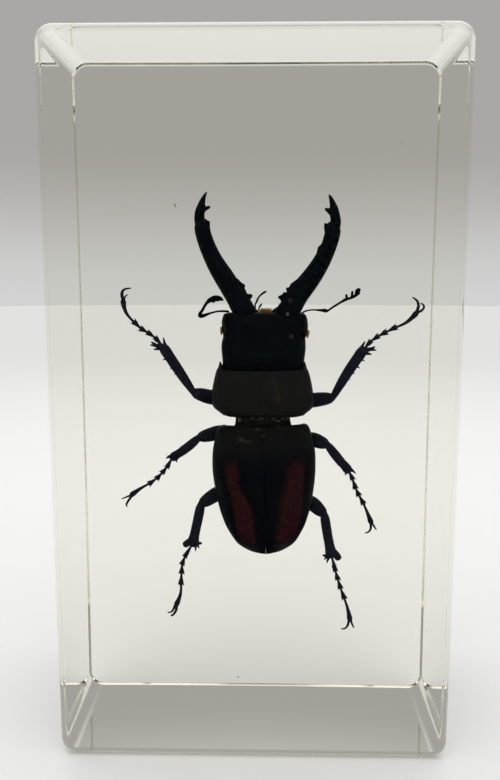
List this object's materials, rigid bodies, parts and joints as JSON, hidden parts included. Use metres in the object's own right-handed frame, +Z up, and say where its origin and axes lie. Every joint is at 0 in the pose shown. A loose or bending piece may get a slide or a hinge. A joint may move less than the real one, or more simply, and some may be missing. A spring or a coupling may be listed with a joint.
{
  "type": "stag beetle cast in a clear resin block",
  "caption": "Rounded upright block of clear resin holding a long-jawed stag beetle, spread flat with its back to the front face.",
  "frame": {"origin": "middle of the block's narrow base, at table height", "axes": "+Z up towards the beetle's jaws, +X to the right seen from the front, +Y through the block towards its back; the beetle's back faces -Y"},
  "size_m": [0.06, 0.036, 0.108],
  "materials": {
    "clear_resin": "clear cast resin, polished, see-through",
    "black_chitin": "glossy black beetle shell",
    "brown_black_chitin": "silky brown-black beetle shell",
    "dark_red_chitin": "dark red wing case with black edges, finely pitted"
  },
  "bodies": {
    "root": {"block_front": "clear_resin", "block_back": "clear_resin", "head": "black_chitin", "pronotum": "brown_black_chitin", "hindbody": "black_chitin", "mandible_left": "black_chitin", "mandible_right": "black_chitin", "antenna_left": "black_chitin", "antenna_right": "black_chitin", "elytron_left": "dark_red_chitin", "elytron_right": "dark_red_chitin", "leg_front_left": "black_chitin", "leg_front_right": "black_chitin", "leg_middle_left": "black_chitin", "leg_middle_right": "black_chitin", "leg_hind_left": "black_chitin", "leg_hind_right": "black_chitin"}
  },
  "joints": []
}
